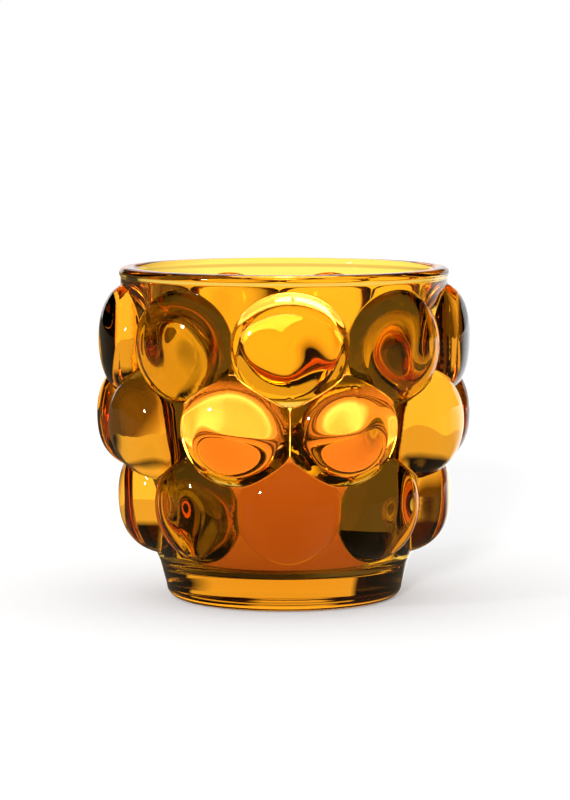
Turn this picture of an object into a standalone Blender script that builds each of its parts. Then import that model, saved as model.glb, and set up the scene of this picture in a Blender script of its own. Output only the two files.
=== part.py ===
"""Tealight holder: a pressed amber glass cup studded with round bubbles, and the candle in it.

Run with: blender --background --python part.py
Units are metres, +Z is up, the origin is at the centre of the base and -Y is the front.
Pieces: the glass holder, and a candle made of a clear plastic cup, its wax, a cotton wick
and the tin sustainer that holds the wick upright.
"""
import math
from collections import namedtuple

import bmesh
import bpy
from mathutils import Matrix

# ---- driving dimensions of the glass ---------------------------------------------------------
HEIGHT = 0.0850             # base to rim
LIP_RADIUS = 0.0424         # widest point of the fire-polished lip
NECK_RADIUS = 0.0420        # plain band under the lip
LIP_HEIGHT = 0.0030         # depth of the lip's bead
FOOT_HEIGHT = 0.0088        # plain round foot, up to its mould line
FOOT_TOP_RADIUS = 0.0318
FOOT_LOW_RADIUS = 0.0303
FOOT_EDGE_ROUND = 0.0032    # rounding of the foot's bottom edge
SHOULDER_RADIUS = 0.0349    # where the bowl turns in towards the foot
SHOULDER_Z = 0.0165
RECESS_RADIUS = 0.0210      # shallow hollow under the base
RECESS_DEPTH = 0.0009

FLOOR_Z = 0.0084            # inside floor, on a thick solid base
FLOOR_ROUND = 0.0055        # rounding between inside floor and wall
CAVITY_LOW_RADIUS = 0.0285
CAVITY_MOUTH_RADIUS = 0.0381
MOUTH_OVERSHOOT = 0.0050    # how far the cavity's cutter stands out of the mouth

# ---- the bubbles -----------------------------------------------------------------------------
# Each bubble is half sunk in the wall, in three rows staggered by half a pitch. Its power is 2
# for an ellipsoid, and more where the crown is flatter and the edge rounder.
BUBBLES_PER_ROW = 9
PITCH = 2.0 * math.pi / BUBBLES_PER_ROW
Row = namedtuple("Row", "name height reach depth half_width half_height wall_radius shift power")
LOW = Row("low", 0.0269, 0.0429, 0.0131, 0.0139, 0.0152, 0.0372, 0.0, 2.6)
MIDDLE = Row("middle", 0.0469, 0.0483, 0.0139, 0.0149, 0.0149, 0.0399, 0.5, 3.0)
TOP = Row("top", 0.0669, 0.0478, 0.0080, 0.0146, 0.0144, 0.0420, 0.0, 2.4)
BUBBLE_SEGMENTS = 20
BUBBLE_RINGS = 10
BUBBLE_MESH_SPIN = math.radians(3.1)    # keeps the edges of neighbouring bubbles from coinciding

# ---- the candle ------------------------------------------------------------------------------
GAP = 0.0003                # clearance between pieces that rest on each other
CUP_RADIUS = 0.0220         # at the cup's base
CUP_TOP_RADIUS = 0.0229
CUP_HEIGHT = 0.0344
CUP_WALL = 0.0005
CUP_LIP = 0.0005            # how far the lip stands out
CUP_CORNER = 0.0020
WAX_HEIGHT = 0.0334
WAX_POOL_RADIUS = 0.0195
WAX_POOL_DEPTH = 0.0032
SUSTAINER_RADIUS = 0.0063
SUSTAINER_THICKNESS = 0.0003
SUSTAINER_NECK_RADIUS = 0.0016
SUSTAINER_NECK_HEIGHT = 0.0040
WICK_RADIUS = 0.0008
WICK_ABOVE_WAX = 0.0035

# ---- mesh resolution -------------------------------------------------------------------------
GLASS_STEPS = 64
CUP_STEPS = 48
SMALL_STEPS = 20
SHARP_ANGLE = math.radians(32.0)
MERGE = 0.00001

# ---- heights worked out from the sizes above -------------------------------------------------
CUP_Z = FLOOR_Z + GAP
CUP_FLOOR_TOP = CUP_Z + CUP_WALL
SUSTAINER_Z = CUP_FLOOR_TOP + GAP
WAX_Z = CUP_FLOOR_TOP + GAP
WAX_TOP = WAX_Z + WAX_HEIGHT
WICK_Z = SUSTAINER_Z + SUSTAINER_THICKNESS + GAP
WICK_TOP = WAX_TOP + WICK_ABOVE_WAX


def clear_scene():
    for obj in list(bpy.data.objects):
        bpy.data.objects.remove(obj, do_unlink=True)


def new_material(name, colour, roughness, metallic=0.0, transmission=0.0, ior=1.5):
    """A Principled material for one piece."""
    material = bpy.data.materials.new(name)
    material.use_nodes = True
    shader = material.node_tree.nodes["Principled BSDF"]
    shader.inputs["Base Color"].default_value = (*colour, 1.0)
    shader.inputs["Roughness"].default_value = roughness
    shader.inputs["Metallic"].default_value = metallic
    shader.inputs["Transmission Weight"].default_value = transmission
    shader.inputs["IOR"].default_value = ior
    material.diffuse_color = (*colour, 1.0)
    return material


def arc(centre_r, centre_z, radius, start_deg, end_deg, points):
    """Points of an arc in the (radius, height) plane, both ends included."""
    outline = []
    for i in range(points):
        angle = math.radians(start_deg + (end_deg - start_deg) * i / (points - 1))
        outline.append((centre_r + radius * math.cos(angle), centre_z + radius * math.sin(angle)))
    return outline


def turned(name, outline, steps):
    """Turns an outline into one closed body: its two ends lie on the Z axis, or meet each other."""
    mesh = bpy.data.meshes.new(name)
    bm = bmesh.new()
    verts = [bm.verts.new((r, 0.0, z)) for r, z in outline]
    edges = [bm.edges.new(pair) for pair in zip(verts[:-1], verts[1:])]
    bmesh.ops.spin(
        bm,
        geom=verts + edges,
        cent=(0.0, 0.0, 0.0),
        axis=(0.0, 0.0, 1.0),
        angle=2.0 * math.pi,
        steps=steps,
        use_duplicate=False,
    )
    bmesh.ops.remove_doubles(bm, verts=bm.verts, dist=MERGE)
    bmesh.ops.dissolve_degenerate(bm, edges=bm.edges, dist=MERGE)
    bmesh.ops.recalc_face_normals(bm, faces=bm.faces)
    bm.to_mesh(mesh)
    bm.free()
    return link(name, mesh)


def turned_ring(name, outline, steps):
    """Turns a closed outline that stays clear of the Z axis into a ring."""
    return turned(name, outline + [outline[0]], steps)


def link(name, mesh):
    obj = bpy.data.objects.new(name, mesh)
    bpy.context.collection.objects.link(obj)
    return obj


def finish(obj, material, parent):
    """Gives a piece its material, its smooth shading and its place in the assembly."""
    obj.data.materials.clear()
    obj.data.materials.append(material)
    obj.data.shade_smooth()
    obj.data.set_sharp_from_angle(angle=SHARP_ANGLE)
    obj.parent = parent
    return obj


def hide_operand(obj):
    obj.hide_render = True
    obj.display_type = "WIRE"


def cut(target, cutter):
    """Cuts one shape out of a piece."""
    modifier = target.modifiers.new(cutter.name, "BOOLEAN")
    modifier.operation = "DIFFERENCE"
    modifier.solver = "EXACT"
    modifier.object = cutter
    hide_operand(cutter)


def join_all(target, collection):
    """Unites a piece with every object of a collection in one Boolean."""
    modifier = target.modifiers.new(collection.name, "BOOLEAN")
    modifier.operation = "UNION"
    modifier.solver = "EXACT"
    modifier.operand_type = "COLLECTION"
    modifier.collection = collection
    for obj in collection.objects:
        hide_operand(obj)


# ---- glass -----------------------------------------------------------------------------------
def glass_blank():
    """The cup's outer shape without bubbles: lip, neck, tapering wall and foot."""
    lip_half = LIP_HEIGHT / 2.0
    lip_centre_z = HEIGHT - lip_half
    outline = [(0.0, HEIGHT)]
    outline += arc(LIP_RADIUS - lip_half, lip_centre_z, lip_half, 90.0, -40.0, 8)
    outline += [
        (NECK_RADIUS, HEIGHT - LIP_HEIGHT - 0.0004),
        (TOP.wall_radius, TOP.height),
        (MIDDLE.wall_radius, MIDDLE.height),
        (LOW.wall_radius, LOW.height),
        (SHOULDER_RADIUS, SHOULDER_Z),
        (FOOT_TOP_RADIUS + 0.0006, FOOT_HEIGHT + 0.0018),
        (FOOT_TOP_RADIUS, FOOT_HEIGHT),
    ]
    outline += arc(FOOT_LOW_RADIUS - FOOT_EDGE_ROUND, FOOT_EDGE_ROUND, FOOT_EDGE_ROUND, 0.0, -90.0, 7)
    outline += [(RECESS_RADIUS, 0.0), (RECESS_RADIUS - 0.0020, RECESS_DEPTH), (0.0, RECESS_DEPTH)]
    return turned("glass_holder", outline, GLASS_STEPS)


def cavity_cutter():
    """The inside of the cup: flat floor, rounded corner, gently flared wall."""
    outline = [
        (0.0, HEIGHT + MOUTH_OVERSHOOT),
        (CAVITY_MOUTH_RADIUS + 0.0030, HEIGHT + MOUTH_OVERSHOOT),
        (CAVITY_MOUTH_RADIUS + 0.0011, HEIGHT),
        (CAVITY_MOUTH_RADIUS + 0.0003, HEIGHT - 0.0006),
        (CAVITY_MOUTH_RADIUS, HEIGHT - 0.0018),
    ]
    outline += arc(CAVITY_LOW_RADIUS - FLOOR_ROUND, FLOOR_Z + FLOOR_ROUND, FLOOR_ROUND, -8.0, -90.0, 8)
    outline += [(0.0, FLOOR_Z)]
    return turned("cavity_cutter", outline, GLASS_STEPS)


def bubble(row, i):
    """One bubble whose axis points straight out of the cup."""
    name = f"{row.name}_bubble_{i}"
    mesh = bpy.data.meshes.new(name)
    bm = bmesh.new()
    bmesh.ops.create_uvsphere(bm, u_segments=BUBBLE_SEGMENTS, v_segments=BUBBLE_RINGS, radius=1.0)
    pole_outwards = Matrix.Rotation(math.pi / 2.0, 4, "X")
    for vert in bm.verts:
        from_crown = math.hypot(vert.co.x, vert.co.y)
        if from_crown > MERGE:
            vert.co.xy *= from_crown ** (2.0 / row.power - 1.0)
    spun = Matrix.Rotation(BUBBLE_MESH_SPIN, 4, "Z")
    sized = Matrix.Diagonal((row.half_width, row.depth, row.half_height, 1.0))
    outwards = Matrix.Translation((0.0, row.depth - row.reach, row.height))
    around = Matrix.Rotation((i + row.shift) * PITCH, 4, "Z")
    bm.transform(around @ outwards @ sized @ pole_outwards @ spun)
    bm.to_mesh(mesh)
    bm.free()
    return link(name, mesh)


def glass_holder(material, parent):
    glass = glass_blank()
    bubbles = bpy.data.collections.new("bubbles")
    bpy.context.scene.collection.children.link(bubbles)
    for row in (LOW, MIDDLE, TOP):
        for i in range(BUBBLES_PER_ROW):
            one = bubble(row, i)
            bpy.context.collection.objects.unlink(one)
            bubbles.objects.link(one)
    join_all(glass, bubbles)
    cut(glass, cavity_cutter())
    return finish(glass, material, parent)


# ---- candle ----------------------------------------------------------------------------------
def tealight_cup(material, parent):
    """Thin clear plastic cup with a small lip."""
    top = CUP_Z + CUP_HEIGHT
    lip_outer = CUP_TOP_RADIUS + CUP_LIP
    outline = [(0.0, CUP_FLOOR_TOP)]
    outline += arc(CUP_RADIUS - CUP_CORNER, CUP_Z + CUP_CORNER, CUP_CORNER - CUP_WALL, -90.0, 0.0, 5)
    outline += [
        (CUP_TOP_RADIUS - CUP_WALL, top),
        (lip_outer - 0.0002, top),
        (lip_outer, top - 0.0003),
        (lip_outer - 0.0001, top - 0.0007),
        (CUP_TOP_RADIUS, top - 0.0008),
    ]
    outline += arc(CUP_RADIUS - CUP_CORNER, CUP_Z + CUP_CORNER, CUP_CORNER, 0.0, -90.0, 5)
    outline += [(0.0, CUP_Z)]
    return finish(turned("tealight_cup", outline, CUP_STEPS), material, parent)


def wax(material, parent):
    """Wax with a melted pool on top, a wick hole and a seat for the sustainer."""
    outer = CUP_RADIUS - CUP_WALL - GAP
    top_outer = outer + (CUP_TOP_RADIUS - CUP_RADIUS) * WAX_HEIGHT / CUP_HEIGHT
    corner = CUP_CORNER
    hole = WICK_RADIUS + GAP
    neck_hole = SUSTAINER_NECK_RADIUS + GAP
    seat = SUSTAINER_RADIUS + GAP
    seat_top = SUSTAINER_Z + SUSTAINER_THICKNESS + GAP
    neck_top = SUSTAINER_Z + SUSTAINER_NECK_HEIGHT + GAP
    outline = [
        (hole, WAX_TOP - WAX_POOL_DEPTH),
        (WAX_POOL_RADIUS - 0.0010, WAX_TOP - WAX_POOL_DEPTH),
        (WAX_POOL_RADIUS, WAX_TOP),
        (top_outer, WAX_TOP),
    ]
    outline += arc(outer - corner, WAX_Z + corner, corner, 0.0, -90.0, 4)
    outline += [(seat, WAX_Z), (seat, seat_top), (neck_hole, seat_top), (neck_hole, neck_top), (hole, neck_top)]
    return finish(turned_ring("wax", outline, CUP_STEPS), material, parent)


def wick_sustainer(material, parent):
    """Tin disc with a short neck crimped round the wick."""
    bore = WICK_RADIUS + GAP
    top = SUSTAINER_Z + SUSTAINER_NECK_HEIGHT
    outline = [
        (0.0, SUSTAINER_Z + SUSTAINER_THICKNESS),
        (bore, SUSTAINER_Z + SUSTAINER_THICKNESS),
        (bore, top),
        (SUSTAINER_NECK_RADIUS, top),
        (SUSTAINER_NECK_RADIUS, SUSTAINER_Z + SUSTAINER_THICKNESS),
        (SUSTAINER_RADIUS, SUSTAINER_Z + SUSTAINER_THICKNESS),
        (SUSTAINER_RADIUS, SUSTAINER_Z),
        (0.0, SUSTAINER_Z),
    ]
    return finish(turned("wick_sustainer", outline, SMALL_STEPS), material, parent)


def wick(material, parent):
    """Round cotton wick, from the sustainer up through the wax."""
    tip = WICK_RADIUS * 0.6
    outline = [
        (0.0, WICK_TOP),
        (tip, WICK_TOP),
        (WICK_RADIUS, WICK_TOP - 0.0006),
        (WICK_RADIUS, WICK_Z),
        (0.0, WICK_Z),
    ]
    return finish(turned("wick", outline, SMALL_STEPS), material, parent)


def main():
    clear_scene()
    assembly = bpy.data.objects.new("tealight_holder", None)
    bpy.context.collection.objects.link(assembly)
    amber = new_material("amber_glass", (0.92, 0.50, 0.07), 0.02, transmission=1.0, ior=1.52)
    clear = new_material("clear_plastic", (0.95, 0.95, 0.94), 0.05, transmission=1.0, ior=1.49)
    paraffin = new_material("paraffin_wax", (0.93, 0.91, 0.86), 0.35)
    cotton = new_material("cotton_wick", (0.80, 0.77, 0.70), 0.90)
    tin = new_material("tin_plate", (0.62, 0.62, 0.63), 0.35, metallic=1.0)
    glass_holder(amber, assembly)
    tealight_cup(clear, assembly)
    wax(paraffin, assembly)
    wick_sustainer(tin, assembly)
    wick(cotton, assembly)


main()
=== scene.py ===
"""The look of the tealight holder: bubbled amber glass, a lit candle, and a plain studio.

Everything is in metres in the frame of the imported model: +Z up, -Y towards the front.
"""
import math
from collections import namedtuple

import bmesh
import bpy
import numpy as np
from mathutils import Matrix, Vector, noise
from mathutils.geometry import delaunay_2d_cdt


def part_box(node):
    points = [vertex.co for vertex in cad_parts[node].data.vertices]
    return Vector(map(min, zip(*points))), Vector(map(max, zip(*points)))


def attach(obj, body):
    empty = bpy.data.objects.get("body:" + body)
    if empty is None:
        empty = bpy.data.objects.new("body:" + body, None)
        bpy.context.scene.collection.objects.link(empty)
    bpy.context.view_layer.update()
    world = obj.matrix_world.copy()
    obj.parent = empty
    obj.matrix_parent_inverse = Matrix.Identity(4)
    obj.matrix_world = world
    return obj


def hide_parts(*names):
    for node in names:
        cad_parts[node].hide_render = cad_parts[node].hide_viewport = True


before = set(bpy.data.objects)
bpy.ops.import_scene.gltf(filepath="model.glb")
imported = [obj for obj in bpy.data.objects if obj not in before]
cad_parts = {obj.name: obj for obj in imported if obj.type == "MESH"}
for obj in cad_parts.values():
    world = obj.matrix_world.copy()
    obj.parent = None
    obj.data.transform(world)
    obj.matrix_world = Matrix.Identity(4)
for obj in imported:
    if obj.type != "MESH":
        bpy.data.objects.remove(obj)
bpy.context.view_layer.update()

# ---- sizes taken from the frame ---------------------------------------------------------------
GLASS_LOW, GLASS_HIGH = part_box("glass_holder")
CUP_LOW, CUP_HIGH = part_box("tealight_cup")
WAX_LOW, WAX_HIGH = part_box("wax")
WICK_LOW, WICK_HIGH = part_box("wick")
SUSTAINER_LOW, SUSTAINER_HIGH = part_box("wick_sustainer")
HEIGHT = GLASS_HIGH[2]

MM = 0.001
TAU = 2.0 * math.pi

# ---- the bubbles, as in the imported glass: half sunk in the wall, flatter at the crown ---------
BUBBLES_PER_ROW = 9
HALF_PITCH = math.pi / BUBBLES_PER_ROW
# The power is 2 for an ellipsoid, and more where the crown is flatter and the edge rounder.
Row = namedtuple("Row", "angle height centre depth half_width half_height power")
LOW = Row(0.0, 26.9 * MM, 29.8 * MM, 13.1 * MM, 13.9 * MM, 15.2 * MM, 2.6)
MIDDLE = Row(HALF_PITCH, 46.9 * MM, 34.4 * MM, 13.9 * MM, 14.9 * MM, 14.9 * MM, 3.0)
TOP = Row(0.0, 66.9 * MM, 39.8 * MM, 8.0 * MM, 14.6 * MM, 14.4 * MM, 2.4)
ROWS = (LOW, MIDDLE, TOP)
FARTHEST = 60.0 * MM           # beyond every bubble
VALLEY_SHARPNESS = 7.0 / MM    # how tight the rounding is where two surfaces of the glass meet

# ---- the glass profile ------------------------------------------------------------------------
LIP_RADIUS = 42.4 * MM
LIP_HALF = 1.5 * MM
NECK_RADIUS = 42.0 * MM
FOOT_HEIGHT = 8.8 * MM
FOOT_TOP_RADIUS = 31.8 * MM
FOOT_LOW_RADIUS = 30.3 * MM
FOOT_ROUND = 3.2 * MM
RECESS_RADIUS = 21.0 * MM
RECESS_DEPTH = 0.9 * MM
FLOOR_Z = 8.4 * MM
FLOOR_ROUND = 5.5 * MM
CAVITY_LOW_RADIUS = 28.5 * MM
MOUTH_RADIUS = 38.1 * MM
PATTERN_TOP = 81.4 * MM
PATTERN_BOTTOM = 10.4 * MM
WALL_POINTS = (
    (PATTERN_BOTTOM, 32.4 * MM),
    (12.5 * MM, 33.3 * MM),
    (16.5 * MM, 34.9 * MM),
    (26.9 * MM, 37.2 * MM),
    (46.9 * MM, 39.9 * MM),
    (66.9 * MM, 42.0 * MM),
    (PATTERN_TOP, NECK_RADIUS),
)

# ---- the candle -------------------------------------------------------------------------------
CUP_LOW_RADIUS = 22.0 * MM
CUP_LIP = 0.5 * MM
CUP_WALL = 0.5 * MM
WAX_LOW_RADIUS = 21.2 * MM
POOL_DEPTH = 3.2 * MM
FLAME_HEIGHT = 12.5 * MM
FLAME_RADIUS = 3.4 * MM
FLAME_STRENGTH = 60.0
SHORE_GLOW = (1.6, 1.1, 1.1)   # painted glow on the wax round the pool, standing in for the flame's light there

# ---- the studio: bright screens on a dark sky, azimuth 0 straight behind the object ----------
Screen = namedtuple("Screen", "azimuth half_width low high soft level")
SCREENS = (
    Screen(10.0, 35.0, -6.0, 13.0, 3.0, 1.00),
    Screen(-1.0, 17.0, 12.0, 46.0, 6.0, 1.10),
    Screen(180.0, 55.0, 5.0, 75.0, 15.0, 0.03),
)
STUDIO_DARK = 0.004
ROOM_FILL = 0.85               # white room as the floor and the candle see it
FLOOR_LIFT = 0.20
FLOOR_AZIMUTH = 24.0           # middle of the part of the floor that is bright in the glass
FLOOR_HALF_WIDTH = 42.0
FLOOR_SOFT = 16.0
FLOOR_BEHIND = 1.50            # painted light levels of the floor as the glass sees it
FLOOR_ASIDE = 0.14
FLOOR_BEFORE = 0.04
FLOOR_BEFORE_FROM = 125.0      # how far round from its bright middle the front part begins
FLOOR_BEFORE_SOFT = 25.0
DIM_FLOOR = (1.0, 0.80, 0.50)  # painted warm shade where it is dim

# ---- mesh density -----------------------------------------------------------------------------
FLAT_RADIUS = 40.0 * MM        # radius at which the pattern is laid out flat
GRID = 0.80 * MM
NEAR_VALLEY = (0.12 * MM, 0.27 * MM, 0.48 * MM)
VALLEY_STEP = 0.45 * MM
CLEARANCE = 0.70 * MM
COLUMNS = 14                   # columns of the plain bands in half a pitch


def wall_radius(z):
    """Radius of the plain wall, without bubbles."""
    heights = [p[0] for p in WALL_POINTS]
    radii = [p[1] for p in WALL_POINTS]
    return np.interp(z, heights, radii)


def bubble_reach(row, turn, z):
    """How far from the axis a level ray leaves a bubble; 0 where it misses it."""
    turn, z = np.broadcast_arrays(np.asarray(turn, float), np.asarray(z, float))
    ahead, side = np.cos(turn), np.sin(turn)
    up = (z - row.height) / row.half_height
    low = np.full(turn.shape, 0.5 * row.centre)
    high = np.full(turn.shape, FARTHEST)
    for _ in range(24):
        middle = 0.5 * (low + high)
        spread = np.hypot(middle * side / row.half_width, up)
        crown = np.sqrt(np.maximum(1.0 - spread**row.power, 0.0))
        inside = (middle * ahead < row.centre + row.depth * crown) & (spread < 1.0)
        low = np.where(inside, middle, low)
        high = np.where(inside, high, middle)
    hit = (np.hypot(low * side / row.half_width, up) < 1.0) & (ahead > 0.2)
    return np.where(hit, low, 0.0)


def candidates(angle, z):
    """Radii of every surface that could be outermost near a point of the half sector."""
    surfaces = [wall_radius(z)]
    for row in ROWS:
        for neighbour in (-1, 0, 1):
            centre = row.angle + neighbour * 2.0 * HALF_PITCH
            surfaces.append(bubble_reach(row, angle - centre, z))
    return np.stack(np.broadcast_arrays(*surfaces))


def outer_radius(angle, z):
    """The outer surface, with a small rounding in every valley."""
    surfaces = candidates(angle, z)
    highest = surfaces.max(axis=0)
    return highest + np.log(np.exp(VALLEY_SHARPNESS * (surfaces - highest)).sum(axis=0)) / VALLEY_SHARPNESS


def outermost(angle, z):
    """Index in candidates() of the surface that is outermost at each point."""
    return candidates(angle, z).argmax(axis=0)


# ---- points of the pattern's half sector ------------------------------------------------------
class PointSet:
    """Points of the flat layout (arc, height), no two closer than a small distance."""

    def __init__(self, spacing):
        self.spacing = spacing
        self.cells = {}
        self.points = []

    def add(self, x, z, spacing=None):
        apart = spacing or self.spacing
        width = HALF_PITCH * FLAT_RADIUS
        if x < -1e-7 or x > width + 1e-7 or z < PATTERN_BOTTOM - 1e-9 or z > PATTERN_TOP + 1e-9:
            return
        x = min(max(x, 0.0), width)
        reach = int(math.ceil(apart / self.spacing))
        i, j = int(x / self.spacing), int(z / self.spacing)
        for di in range(-reach, reach + 1):
            for dj in range(-reach, reach + 1):
                for k in self.cells.get((i + di, j + dj), ()):
                    px, pz = self.points[k]
                    if (px - x) ** 2 + (pz - z) ** 2 < apart**2:
                        return
        self.cells.setdefault((i, j), []).append(len(self.points))
        self.points.append((x, z))


def border_distances(row, own, directions):
    """Flat distances from a bubble's centre to where another surface overtakes it."""
    dx, dz = np.cos(directions), np.sin(directions)
    low = np.full(directions.shape, 2.0 * MM)
    high = np.full(directions.shape, 20.0 * MM)
    for _ in range(24):
        middle = 0.5 * (low + high)
        owned = outermost(row.angle + dx * middle / FLAT_RADIUS, row.height + dz * middle) == own
        low = np.where(owned, middle, low)
        high = np.where(owned, high, middle)
    return low


def sector_points():
    """Points on the half sector: along its borders, along every valley, and a grid between."""
    width = HALF_PITCH * FLAT_RADIUS
    points = PointSet(0.10 * MM)
    for i in range(COLUMNS + 1):
        points.add(width * i / COLUMNS, PATTERN_BOTTOM)
        points.add(width * i / COLUMNS, PATTERN_TOP)
    borders = []
    for index, row in enumerate(ROWS):
        own = 1 + 3 * index + 1
        start = -math.pi / 2.0 if row.angle == 0.0 else math.pi / 2.0
        rays = int(14.5 * MM * math.pi / VALLEY_STEP)
        directions = start + np.linspace(0.0, math.pi, rays + 1)
        table = border_distances(row, own, directions)
        beyond = table + 0.02 * MM
        angles = row.angle + np.cos(directions) * beyond / FLAT_RADIUS
        others = outermost(angles, row.height + np.sin(directions) * beyond)
        for direction, distance, other in zip(directions, table, others):
            steps = [-d for d in NEAR_VALLEY]
            if other == 0 or own >= other:
                steps.append(0.0)
            if other == 0:
                steps += list(NEAR_VALLEY)
            for step in steps:
                reach = distance + step
                points.add(
                    row.angle * FLAT_RADIUS + math.cos(direction) * reach,
                    row.height + math.sin(direction) * reach,
                )
        borders.append((row, own, start, table))
    fill_grid(points, borders, width)
    return points.points


def border_at(border, x, z):
    """Distance of a flat point beyond a bubble's border (negative inside it)."""
    row, _own, start, table = border
    dx, dz = x - row.angle * FLAT_RADIUS, z - row.height
    turn = (math.atan2(dz, dx) - start) % TAU
    if turn > math.pi:
        turn = TAU - turn if turn < TAU - 1e-6 else 0.0
    place = turn / math.pi * (len(table) - 1)
    k = min(int(place), len(table) - 2)
    distance = table[k] + (table[k + 1] - table[k]) * (place - k)
    return math.hypot(dx, dz) - distance


def fill_grid(points, borders, width):
    """Fills what is left with an even triangular grid, its columns locked to both sides."""
    columns = int(round(width / GRID))
    step_x = width / columns
    step_z = step_x * math.sqrt(3.0) / 2.0
    rows = int((PATTERN_TOP - PATTERN_BOTTOM) / step_z)
    for j in range(1, rows + 1):
        z = PATTERN_BOTTOM + j * step_z
        shifted = j % 2
        for i in range(columns + 1):
            x = i * step_x + (0.5 * step_x if shifted else 0.0)
            add_if_clear(points, borders, x, z)
        if shifted:
            add_if_clear(points, borders, 0.0, z)
            add_if_clear(points, borders, width, z)


def add_if_clear(points, borders, x, z):
    if z > PATTERN_TOP - 0.4 * MM:
        return
    if min(abs(border_at(border, x, z)) for border in borders) > CLEARANCE:
        points.add(x, z, 0.45 * MM)


def sector_mesh():
    """Triangulates the half sector; returns (angle, height) points and triangles."""
    width = HALF_PITCH * FLAT_RADIUS
    flat = sector_points()
    tiny = 1e-6
    bottom = sorted((p[0], i) for i, p in enumerate(flat) if p[1] < PATTERN_BOTTOM + tiny)
    right = sorted((p[1], i) for i, p in enumerate(flat) if p[0] > width - tiny)
    top = sorted(((p[0], i) for i, p in enumerate(flat) if p[1] > PATTERN_TOP - tiny), reverse=True)
    left = sorted(((p[1], i) for i, p in enumerate(flat) if p[0] < tiny), reverse=True)
    loop = [i for _, i in bottom] + [i for _, i in right] + [i for _, i in top] + [i for _, i in left]
    outline = []
    for i in loop:
        if i not in outline:
            outline.append(i)
    coords = [Vector((x / MM, z / MM)) for x, z in flat]
    verts, _edges, faces, _ov, _oe, _of = delaunay_2d_cdt(coords, [], [outline], 1, 1e-5)
    places = [(v.x * MM / FLAT_RADIUS, v.y * MM) for v in verts]
    return places, [tuple(f) for f in faces]


# ---- plain turned bands -----------------------------------------------------------------------
def arc(centre_r, centre_z, radius, start_deg, end_deg, count):
    """Points of an arc in the (radius, height) plane, both ends included."""
    angles = np.radians(np.linspace(start_deg, end_deg, count))
    return [(centre_r + radius * math.cos(a), centre_z + radius * math.sin(a)) for a in angles]


def resampled(outline, step):
    """Adds points along an outline's long straight runs."""
    result = [outline[0]]
    for start, end in zip(outline[:-1], outline[1:]):
        length = math.hypot(end[0] - start[0], end[1] - start[1])
        pieces = max(1, int(round(length / step)))
        for k in range(1, pieces + 1):
            t = k / pieces
            result.append((start[0] + (end[0] - start[0]) * t, start[1] + (end[1] - start[1]) * t))
    return result


def inside_profile():
    """From the top of the pattern over the lip and down the inside, to the middle of the floor."""
    lip_z = HEIGHT - LIP_HALF
    outline = [(NECK_RADIUS, PATTERN_TOP), (NECK_RADIUS, lip_z - LIP_HALF * 0.95)]
    outline += arc(LIP_RADIUS - LIP_HALF, lip_z, LIP_HALF, -38.0, 90.0, 12)
    inner_round = 1.4 * MM
    outline += arc(MOUTH_RADIUS + inner_round, HEIGHT - inner_round, inner_round, 95.0, 180.0, 9)
    outline += arc(CAVITY_LOW_RADIUS - FLOOR_ROUND, FLOOR_Z + FLOOR_ROUND, FLOOR_ROUND, -8.0, -90.0, 12)
    outline += [(0.0, FLOOR_Z)]
    return resampled(outline, 1.3 * MM)


def foot_profile():
    """From the bottom of the pattern down the foot and under it, to the middle of the base."""
    outline = [(float(wall_radius(PATTERN_BOTTOM)), PATTERN_BOTTOM)]
    outline += [(FOOT_TOP_RADIUS + 0.12 * MM, FOOT_HEIGHT + 0.5 * MM)]
    outline += [(FOOT_TOP_RADIUS, FOOT_HEIGHT)]
    outline += arc(FOOT_LOW_RADIUS - FOOT_ROUND, FOOT_ROUND, FOOT_ROUND, 0.0, -90.0, 12)
    outline += [(RECESS_RADIUS, 0.0)]
    outline += arc(RECESS_RADIUS - 2.0 * MM, 0.0, 2.0 * MM, 10.0, 27.0, 3)
    outline += [(RECESS_RADIUS - 2.5 * MM, RECESS_DEPTH), (0.0, RECESS_DEPTH)]
    return resampled(outline, 1.3 * MM)


def band(bm, first_ring, outline):
    """Turns an outline from an existing ring to the axis."""
    count = len(first_ring)
    ring = first_ring
    for r, z in outline[1:]:
        if r < 1e-6:
            pole = bm.verts.new((0.0, 0.0, z))
            for k in range(count):
                bm.faces.new((ring[k], ring[(k + 1) % count], pole))
            return
        after = []
        for vert in first_ring:
            angle = math.atan2(vert.co.x, -vert.co.y)
            after.append(bm.verts.new((r * math.sin(angle), -r * math.cos(angle), z)))
        for k in range(count):
            n = (k + 1) % count
            bm.faces.new((ring[k], ring[n], after[n], after[k]))
        ring = after


def ring_at(bm, z):
    """The pattern's border ring at a height, in order round the axis."""
    ring = [v for v in bm.verts if abs(v.co.z - z) < 1e-7]
    return sorted(ring, key=lambda v: math.atan2(v.co.x, -v.co.y))


def new_object(name, mesh, body, slot, *replaced):
    obj = bpy.data.objects.new(name, mesh)
    bpy.context.scene.collection.objects.link(obj)
    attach(obj, body)
    if replaced:
        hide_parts(*replaced)
    return obj


def ripple(co):
    """The slight unevenness of pressed glass, in metres along the normal."""
    broad = noise.noise(co / (13.0 * MM) + Vector((3.1, 7.7, 1.9)))
    fine = noise.noise(co / (4.5 * MM) + Vector((9.2, 0.4, 5.5)))
    return 0.045 * MM * broad + 0.008 * MM * fine


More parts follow.
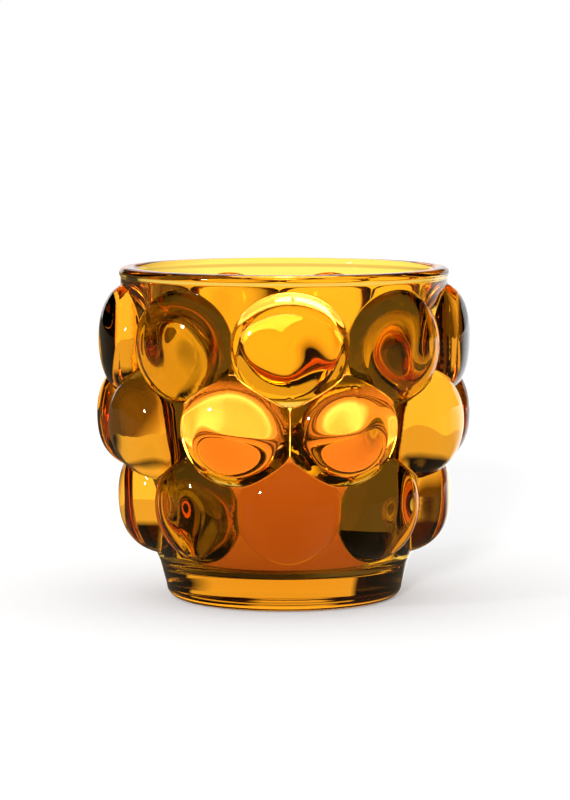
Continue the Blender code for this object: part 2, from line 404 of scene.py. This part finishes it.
def glass_mesh():
    places, triangles = sector_mesh()
    angles = np.array([p[0] for p in places])
    heights = np.array([p[1] for p in places])
    radii = outer_radius(angles, heights)
    bm = bmesh.new()
    for sector in range(BUBBLES_PER_ROW):
        for side in (1.0, -1.0):
            turns = sector * 2.0 * HALF_PITCH + side * angles
            verts = [
                bm.verts.new((r * math.sin(t), -r * math.cos(t), z))
                for r, t, z in zip(radii, turns, heights)
            ]
            for a, b, c in triangles:
                corners = (a, b, c) if side > 0.0 else (a, c, b)
                bm.faces.new([verts[k] for k in corners])
    bmesh.ops.remove_doubles(bm, verts=bm.verts, dist=2e-6)
    band(bm, ring_at(bm, PATTERN_TOP), inside_profile())
    band(bm, ring_at(bm, PATTERN_BOTTOM), foot_profile())
    bmesh.ops.recalc_face_normals(bm, faces=bm.faces)
    bm.normal_update()
    shifts = [(v, v.normal * ripple(v.co)) for v in bm.verts]
    for vert, shift in shifts:
        if vert.co.z > 1.5 * MM:
            vert.co += shift
    mesh = bpy.data.meshes.new("bubble_glass")
    bm.to_mesh(mesh)
    bm.free()
    mesh.shade_smooth()
    return mesh


# ---- materials --------------------------------------------------------------------------------
def new_material(name):
    material = bpy.data.materials.new(name)
    material.use_nodes = True
    return material, material.node_tree.nodes, material.node_tree.links


def amber_glass():
    material, nodes, links = new_material("amber_glass")
    shader = nodes["Principled BSDF"]
    shader.inputs["Base Color"].default_value = (1.0, 0.70, 0.14, 1.0)
    shader.inputs["Roughness"].default_value = 0.0
    shader.inputs["IOR"].default_value = 1.52
    shader.inputs["Transmission Weight"].default_value = 1.0
    absorption = nodes.new("ShaderNodeVolumeAbsorption")
    absorption.inputs["Color"].default_value = (0.97, 0.70, 0.0, 1.0)
    absorption.inputs["Density"].default_value = 42.0
    links.new(absorption.outputs[0], nodes["Material Output"].inputs["Volume"])
    return material


def clear_plastic():
    material, nodes, _links = new_material("cup_clear")
    shader = nodes["Principled BSDF"]
    shader.inputs["Base Color"].default_value = (0.97, 0.97, 0.96, 1.0)
    shader.inputs["Roughness"].default_value = 0.03
    shader.inputs["IOR"].default_value = 1.49
    shader.inputs["Transmission Weight"].default_value = 1.0
    return material


def simple(name, colour, roughness, metallic=0.0):
    material, nodes, _links = new_material(name)
    shader = nodes["Principled BSDF"]
    shader.inputs["Base Color"].default_value = (*colour, 1.0)
    shader.inputs["Roughness"].default_value = roughness
    shader.inputs["Metallic"].default_value = metallic
    return material


def wax_material():
    """Wax with a painted glow standing in for the flame's light through it: emission that fades to the
    base, brightest round the pool.
    """
    material, nodes, links = new_material("wax")
    shader = nodes["Principled BSDF"]
    shader.inputs["Base Color"].default_value = (0.62, 0.56, 0.45, 1.0)
    shader.inputs["Subsurface Weight"].default_value = 0.8
    shader.inputs["Subsurface Radius"].default_value = (1.0, 0.5, 0.25)
    shader.inputs["Subsurface Scale"].default_value = 0.004
    place = nodes.new("ShaderNodeTexCoord")
    parts = nodes.new("ShaderNodeSeparateXYZ")
    links.new(place.outputs["Object"], parts.inputs[0])
    height = nodes.new("ShaderNodeMapRange")
    height.inputs["From Min"].default_value = float(WAX_LOW[2])
    height.inputs["From Max"].default_value = float(WAX_HIGH[2])
    links.new(parts.outputs["Z"], height.inputs["Value"])
    # painted glow: an emission ramp by height stands in for the flame's light shining through the wax,
    # dark red at the base, brightest at the top
    glow = nodes.new("ShaderNodeValToRGB")
    glow.color_ramp.elements[0].position = 0.0
    glow.color_ramp.elements[0].color = (0.42, 0.10, 0.035, 1.0)
    glow.color_ramp.elements[1].position = 0.97
    glow.color_ramp.elements[1].color = (1.35, 0.50, 0.22, 1.0)
    middle = glow.color_ramp.elements.new(0.55)
    middle.color = (0.66, 0.17, 0.055, 1.0)
    links.new(height.outputs[0], glow.inputs["Fac"])
    maths = Maths(nodes, links)
    across = maths("POWER", parts.outputs["X"], 2.0)
    along = maths("POWER", parts.outputs["Y"], 2.0)
    radius = maths("SQRT", maths("ADD", across, along))
    # painted glow round the pool: extra emission on the top of the wax inside the rim and above the shore,
    # standing in for the flame's light there
    inwards = maths("DIVIDE", maths("SUBTRACT", 21.4 * MM, radius), 0.8 * MM, clamp=True)
    shore = float(WAX_HIGH[2]) - POOL_DEPTH + 0.2 * MM
    upwards = maths("DIVIDE", maths("SUBTRACT", parts.outputs["Z"], shore), 1.2 * MM, clamp=True)
    painted_pool_glow = nodes.new("ShaderNodeMix")
    painted_pool_glow.data_type = "RGBA"
    painted_pool_glow.inputs[7].default_value = (*SHORE_GLOW, 1.0)
    links.new(maths("MULTIPLY", inwards, upwards), painted_pool_glow.inputs[0])
    links.new(glow.outputs["Color"], painted_pool_glow.inputs[6])
    # the painted glow goes in as emission, so the wax shines with no lamp on it
    links.new(painted_pool_glow.outputs[2], shader.inputs["Emission Color"])
    shader.inputs["Emission Strength"].default_value = 0.9
    mottle = nodes.new("ShaderNodeTexNoise")
    mottle.inputs["Scale"].default_value = 260.0
    mottle.inputs["Detail"].default_value = 4.0
    links.new(place.outputs["Object"], mottle.inputs["Vector"])
    gloss = nodes.new("ShaderNodeMapRange")
    gloss.inputs["To Min"].default_value = 0.22
    gloss.inputs["To Max"].default_value = 0.50
    links.new(mottle.outputs["Fac"], gloss.inputs["Value"])
    links.new(gloss.outputs[0], shader.inputs["Roughness"])
    return material


def flame_material():
    """Blue-violet at the root, white-yellow in the body, orange at the tip."""
    material, nodes, links = new_material("flame")
    place = nodes.new("ShaderNodeTexCoord")
    parts = nodes.new("ShaderNodeSeparateXYZ")
    links.new(place.outputs["Generated"], parts.inputs[0])
    ramp = nodes.new("ShaderNodeValToRGB")
    ramp.color_ramp.elements[0].color = (0.10, 0.14, 0.55, 1.0)
    ramp.color_ramp.elements[1].color = (1.00, 0.45, 0.10, 1.0)
    root = ramp.color_ramp.elements.new(0.22)
    root.color = (1.00, 0.66, 0.30, 1.0)
    body = ramp.color_ramp.elements.new(0.55)
    body.color = (1.00, 0.80, 0.46, 1.0)
    links.new(parts.outputs["Z"], ramp.inputs["Fac"])
    emission = nodes.new("ShaderNodeEmission")
    emission.inputs["Strength"].default_value = FLAME_STRENGTH
    links.new(ramp.outputs["Color"], emission.inputs["Color"])
    links.new(emission.outputs[0], nodes["Material Output"].inputs["Surface"])
    return material


# ---- pieces -----------------------------------------------------------------------------------
def make_glass():
    glass = new_object("bubble_glass", glass_mesh(), "holder", "amber_glass", "glass_holder")
    glass.data.materials.append(amber_glass())
    return glass


def turned(name, outline, steps, unevenness=0.0):
    """Turns an outline, both ends on the axis, into one smooth closed mesh."""
    bm = bmesh.new()
    rings = []
    for r, z in outline:
        if r < 1e-7:
            rings.append([bm.verts.new((0.0, 0.0, z))])
            continue
        turns = [TAU * k / steps for k in range(steps)]
        rings.append([bm.verts.new((r * math.sin(t), -r * math.cos(t), z)) for t in turns])
    for lower, upper in zip(rings[:-1], rings[1:]):
        for k in range(steps):
            n = (k + 1) % steps
            if len(lower) == 1:
                bm.faces.new((lower[0], upper[k], upper[n]))
            elif len(upper) == 1:
                bm.faces.new((lower[k], lower[n], upper[0]))
            else:
                bm.faces.new((lower[k], lower[n], upper[n], upper[k]))
    bmesh.ops.recalc_face_normals(bm, faces=bm.faces)
    for vert in bm.verts:
        vert.co += unevenness * noise.noise_vector(vert.co / (6.0 * MM))
    mesh = bpy.data.meshes.new(name)
    bm.to_mesh(mesh)
    bm.free()
    mesh.shade_smooth()
    return mesh


def turned_piece(name, outline, steps, body, slot, material, *replaced, unevenness=0.0):
    piece = new_object(name, turned(name, outline, steps, unevenness), body, slot, *replaced)
    piece.data.materials.append(material)
    return piece


def make_cup():
    """Clear cup: thin wall flaring a little upwards, moulded lip, small step at the base."""
    low_r, top_r = CUP_LOW_RADIUS, CUP_HIGH[0] - CUP_LIP
    low, high = CUP_LOW[2], CUP_HIGH[2]
    outline = [(0.0, low + 0.35 * MM), (low_r - 3.2 * MM, low + 0.35 * MM)]
    outline += arc(low_r - 2.6 * MM, low + 0.3 * MM, 0.3 * MM, 180.0, 270.0, 5)
    outline += arc(low_r - 2.0 * MM, low + 2.0 * MM, 2.0 * MM, -90.0, 0.0, 9)
    outline += [(top_r, high - 1.1 * MM)]
    outline += arc(top_r + CUP_LIP - 0.4 * MM, high - 0.4 * MM, 0.4 * MM, -60.0, 90.0, 7)
    outline += arc(top_r - CUP_WALL + 0.3 * MM, high - 0.3 * MM, 0.3 * MM, 90.0, 180.0, 5)
    outline += arc(low_r - 2.0 * MM, low + 2.0 * MM, 2.0 * MM - CUP_WALL, 0.0, -90.0, 9)
    outline += [(0.0, low + CUP_WALL + 0.05 * MM)]
    return turned_piece("clear_cup", outline, 96, "tealight", "cup_clear", clear_plastic(), "tealight_cup")


def make_wax():
    """Wax with a melted pool, a soft shore round it and a narrow unmelted rim."""
    top_r, high, low = WAX_HIGH[0], WAX_HIGH[2], WAX_LOW[2]
    pool = high - POOL_DEPTH
    outline = [(0.0, pool - 0.1 * MM), (1.2 * MM, pool + 0.25 * MM), (2.0 * MM, pool), (8.0 * MM, pool)]
    outline += [(13.0 * MM, pool + 0.05 * MM), (16.5 * MM, pool + 0.30 * MM), (18.4 * MM, pool + 1.2 * MM)]
    outline += [(19.6 * MM, high - 0.8 * MM), (20.5 * MM, high - 0.15 * MM)]
    outline += arc(top_r - 0.7 * MM, high - 0.7 * MM, 0.7 * MM, 90.0, 0.0, 6)
    outline += arc(WAX_LOW_RADIUS - 2.0 * MM, low + 2.0 * MM, 2.0 * MM, 0.0, -90.0, 8)
    outline += [(0.0, low)]
    outline = resampled(outline, 1.2 * MM)
    wax = wax_material()
    return turned_piece("molten_wax", outline, 96, "candle", "wax", wax, "wax", unevenness=0.12 * MM)


def make_sustainer():
    """Pressed tin disc with a rolled edge and a crimped neck."""
    low = SUSTAINER_LOW[2]
    edge, top = SUSTAINER_HIGH[0], SUSTAINER_HIGH[2]
    outline = [(0.0, low), (edge - 0.2 * MM, low)]
    outline += arc(edge - 0.15 * MM, low + 0.15 * MM, 0.15 * MM, -90.0, 90.0, 6)
    outline += [(2.4 * MM, low + 0.3 * MM), (1.75 * MM, low + 0.6 * MM), (1.6 * MM, low + 1.4 * MM)]
    outline += [(1.35 * MM, low + 2.2 * MM), (1.6 * MM, low + 3.0 * MM), (1.6 * MM, top)]
    outline += [(1.1 * MM, top), (1.1 * MM, low + 0.4 * MM), (0.0, low + 0.4 * MM)]
    tin = simple("tin_plate", (0.62, 0.62, 0.63), 0.35, 1.0)
    return turned_piece("pressed_sustainer", outline, 40, "candle", "tin_plate", tin, "wick_sustainer")


def wick_material():
    """Cotton below, charred black above the wax."""
    material, nodes, links = new_material("cotton")
    shader = nodes["Principled BSDF"]
    shader.inputs["Roughness"].default_value = 0.9
    place = nodes.new("ShaderNodeTexCoord")
    parts = nodes.new("ShaderNodeSeparateXYZ")
    links.new(place.outputs["Generated"], parts.inputs[0])
    ramp = nodes.new("ShaderNodeValToRGB")
    ramp.color_ramp.elements[0].position = 0.80
    ramp.color_ramp.elements[0].color = (0.72, 0.66, 0.55, 1.0)
    ramp.color_ramp.elements[1].position = 0.88
    ramp.color_ramp.elements[1].color = (0.012, 0.010, 0.009, 1.0)
    links.new(parts.outputs["Z"], ramp.inputs["Fac"])
    links.new(ramp.outputs["Color"], shader.inputs["Base Color"])
    return material


def make_wick():
    """Braided cotton: three twisted lobes, bending over a little at the top."""
    low, high = WICK_LOW[2], WICK_HIGH[2]
    bm = bmesh.new()
    steps, rings = 18, 150
    previous = None
    for j in range(rings + 1):
        t = j / rings
        z = low + (high - low) * t
        bend = 1.1 * MM * max(0.0, (t - 0.84) / 0.16) ** 2
        shrink = 1.0 - 0.35 * max(0.0, (t - 0.95) / 0.05)
        ring = []
        for k in range(steps):
            turn = TAU * k / steps
            lobe = 0.62 + 0.14 * math.cos(3.0 * turn + 90.0 * t)
            r = lobe * MM * shrink
            ring.append(bm.verts.new((bend + r * math.cos(turn), r * math.sin(turn), z)))
        if previous:
            for k in range(steps):
                n = (k + 1) % steps
                bm.faces.new((previous[k], previous[n], ring[n], ring[k]))
        else:
            bm.faces.new(list(reversed(ring)))
        previous = ring
    bm.faces.new(previous)
    mesh = bpy.data.meshes.new("braided_wick")
    bm.to_mesh(mesh)
    bm.free()
    mesh.shade_smooth()
    wick = new_object("braided_wick", mesh, "candle", "cotton", "wick")
    wick.data.materials.append(wick_material())
    return wick


def make_flame():
    """A teardrop of light round the top of the wick."""
    base = WICK_HIGH[2] - 3.2 * MM
    outline = [(0.0, base)]
    for j in range(1, 26):
        t = j / 26.0
        r = FLAME_RADIUS * math.sin(math.pi * t**0.62) ** 0.9 * (1.0 - 0.35 * t)
        outline.append((r, base + FLAME_HEIGHT * t))
    outline.append((0.0, base + FLAME_HEIGHT))
    return turned_piece("flame", outline, 32, "candle", "cotton", flame_material())


# ---- studio -----------------------------------------------------------------------------------
def make_floor():
    """White floor that takes a soft shadow; seen through the glass it carries painted light, bright only
    behind, with painted shade at the sides and in front.
    """
    mesh = bpy.data.meshes.new("floor")
    size = 6.0
    corners = [(-size, -size, 0.0), (size, -size, 0.0), (size, size, 0.0), (-size, size, 0.0)]
    mesh.from_pydata(corners, [], [(0, 1, 2, 3)])
    floor = bpy.data.objects.new("floor", mesh)
    bpy.context.scene.collection.objects.link(floor)
    floor.location.z = -0.0001
    material, nodes, links = new_material("floor")
    maths = Maths(nodes, links)
    paper = nodes["Principled BSDF"]
    paper.inputs["Base Color"].default_value = (0.86, 0.86, 0.86, 1.0)
    paper.inputs["Roughness"].default_value = 0.7
    paper.inputs["Specular IOR Level"].default_value = 0.0
    paper.inputs["Emission Color"].default_value = (1.0, 1.0, 1.0, 1.0)
    paper.inputs["Emission Strength"].default_value = FLOOR_LIFT
    place = nodes.new("ShaderNodeTexCoord")
    parts = nodes.new("ShaderNodeSeparateXYZ")
    links.new(place.outputs["Object"], parts.inputs[0])
    azimuth = maths("ARCTAN2", parts.outputs["X"], parts.outputs["Y"])
    turn = maths("ABSOLUTE", maths("SUBTRACT", azimuth, math.radians(FLOOR_AZIMUTH)))
    inwards = maths("SUBTRACT", math.radians(FLOOR_HALF_WIDTH), turn)
    behind = maths("DIVIDE", inwards, math.radians(FLOOR_SOFT), clamp=True)
    past = maths("SUBTRACT", turn, math.radians(FLOOR_BEFORE_FROM))
    before = maths("DIVIDE", past, math.radians(FLOOR_BEFORE_SOFT), clamp=True)
    level = maths("ADD", maths("MULTIPLY", behind, FLOOR_BEHIND - FLOOR_ASIDE), FLOOR_ASIDE)
    level = maths("ADD", level, maths("MULTIPLY", before, FLOOR_BEFORE - FLOOR_ASIDE))
    # painted light and shade on the floor for the glass: emission bright behind, dim at the sides, dimmest
    # in front, warm where dim
    seen = nodes.new("ShaderNodeEmission")
    links.new(level, seen.inputs["Strength"])
    painted_shade_tint = nodes.new("ShaderNodeMix")
    painted_shade_tint.data_type = "RGBA"
    painted_shade_tint.inputs[6].default_value = (*DIM_FLOOR, 1.0)
    painted_shade_tint.inputs[7].default_value = (1.0, 1.0, 1.0, 1.0)
    links.new(behind, painted_shade_tint.inputs[0])
    links.new(painted_shade_tint.outputs[2], seen.inputs["Color"])
    paths = nodes.new("ShaderNodeLightPath")
    direct = maths("MAXIMUM", paths.outputs["Is Camera Ray"], paths.outputs["Is Diffuse Ray"])
    mix = nodes.new("ShaderNodeMixShader")
    links.new(direct, mix.inputs["Fac"])
    links.new(seen.outputs[0], mix.inputs[1])
    links.new(paper.outputs[0], mix.inputs[2])
    links.new(mix.outputs[0], nodes["Material Output"].inputs["Surface"])
    floor.data.materials.append(material)
    return floor


def area_light(name, position, target, width, height, power, colour=(1.0, 1.0, 1.0)):
    light = bpy.data.lights.new(name, "AREA")
    light.shape = "RECTANGLE"
    light.size = width
    light.size_y = height
    light.energy = power
    light.color = colour
    obj = bpy.data.objects.new(name, light)
    bpy.context.scene.collection.objects.link(obj)
    obj.location = position
    direction = Vector(target) - Vector(position)
    obj.rotation_euler = direction.to_track_quat("-Z", "Y").to_euler()
    return obj


def sun_light(name, position, angle_deg, strength):
    """A large far lamp that only casts the soft shadow: the glass does not mirror it."""
    light = bpy.data.lights.new(name, "SUN")
    light.angle = math.radians(angle_deg)
    light.energy = strength
    obj = bpy.data.objects.new(name, light)
    bpy.context.scene.collection.objects.link(obj)
    obj.rotation_euler = Vector(position).to_track_quat("Z", "Y").to_euler()
    obj.visible_glossy = False
    obj.visible_transmission = False
    return obj


class Maths:
    """Adds maths nodes to a node tree; numbers become constants, sockets become links."""

    def __init__(self, nodes, links):
        self.nodes = nodes
        self.links = links

    def __call__(self, operation, *values, clamp=False):
        node = self.nodes.new("ShaderNodeMath")
        node.operation = operation
        node.use_clamp = clamp
        self.fill(node, values)
        return node.outputs[0]

    def dot(self, vector, direction):
        node = self.nodes.new("ShaderNodeVectorMath")
        node.operation = "DOT_PRODUCT"
        self.fill(node, (vector, direction))
        return node.outputs["Value"]

    def fill(self, node, values):
        for socket, value in zip(node.inputs, values):
            if isinstance(value, bpy.types.NodeSocket):
                self.links.new(value, socket)
            else:
                socket.default_value = value


def make_world():
    """White to the camera; to the glass a bright backdrop behind and dark studio at the sides."""
    world = bpy.data.worlds.new("studio")
    bpy.context.scene.world = world
    world.use_nodes = True
    nodes, links = world.node_tree.nodes, world.node_tree.links
    nodes.clear()
    maths = Maths(nodes, links)
    output = nodes.new("ShaderNodeOutputWorld")
    coords = nodes.new("ShaderNodeTexCoord")
    ray = coords.outputs["Generated"]
    elevation = maths("ARCSINE", maths.dot(ray, (0.0, 0.0, 1.0)))

    def ramp(value, start_deg, soft_deg):
        rise = maths("SUBTRACT", value, math.radians(start_deg))
        return maths("DIVIDE", rise, math.radians(soft_deg), clamp=True)

    total = STUDIO_DARK
    for screen in SCREENS:
        a = math.radians(screen.azimuth)
        ahead = maths.dot(ray, (math.sin(a), math.cos(a), 0.0))
        aside = maths.dot(ray, (math.cos(a), -math.sin(a), 0.0))
        turn = maths("MULTIPLY", maths("ABSOLUTE", maths("ARCTAN2", aside, ahead)), -1.0)
        across = ramp(turn, -screen.half_width, screen.soft)
        above = ramp(elevation, screen.low, screen.soft)
        below = ramp(maths("MULTIPLY", elevation, -1.0), -screen.high, screen.soft)
        shape = maths("MULTIPLY", maths("MULTIPLY", across, above), below)
        total = maths("ADD", maths("MULTIPLY", shape, screen.level), total)
    studio = nodes.new("ShaderNodeBackground")
    studio.inputs["Color"].default_value = (1.0, 1.0, 1.0, 1.0)
    links.new(total, studio.inputs["Strength"])
    paths = nodes.new("ShaderNodeLightPath")
    white = nodes.new("ShaderNodeBackground")
    white.inputs["Color"].default_value = (1.0, 1.0, 1.0, 1.0)
    fill = maths("MULTIPLY", paths.outputs["Is Diffuse Ray"], ROOM_FILL)
    links.new(maths("ADD", paths.outputs["Is Camera Ray"], fill), white.inputs["Strength"])
    mix = nodes.new("ShaderNodeMixShader")
    direct = maths("MAXIMUM", paths.outputs["Is Camera Ray"], paths.outputs["Is Diffuse Ray"])
    links.new(direct, mix.inputs["Fac"])
    links.new(studio.outputs[0], mix.inputs[1])
    links.new(white.outputs[0], mix.inputs[2])
    links.new(mix.outputs[0], output.inputs["Surface"])


def make_camera():
    """The photographer's camera: nearly level, a little above the rim, a long lens."""
    camera = bpy.data.cameras.new("camera")
    camera.lens = 149.4
    camera.sensor_width = 36.0
    obj = bpy.data.objects.new("camera", camera)
    bpy.context.scene.collection.objects.link(obj)
    distance = 0.85
    azimuth = math.radians(-2.0)
    obj.location = (distance * math.sin(azimuth), -distance * math.cos(azimuth), 0.134)
    aim = Vector((0.0002, 0.0, 0.0505))
    obj.rotation_euler = (aim - obj.location).to_track_quat("-Z", "Y").to_euler()
    bpy.context.scene.camera = obj


make_camera()
make_world()
make_floor()
make_glass()
make_cup()
make_wax()
make_sustainer()
make_wick()
make_flame()
area_light("window", (-0.93, -0.58, 0.40), (0.0, 0.0, 0.04), 0.09, 0.09, 2.0)
sun_light("key", (-0.20, -1.0, 0.28), 8.0, 1.7)
bpy.context.scene.view_settings.view_transform = "Standard"
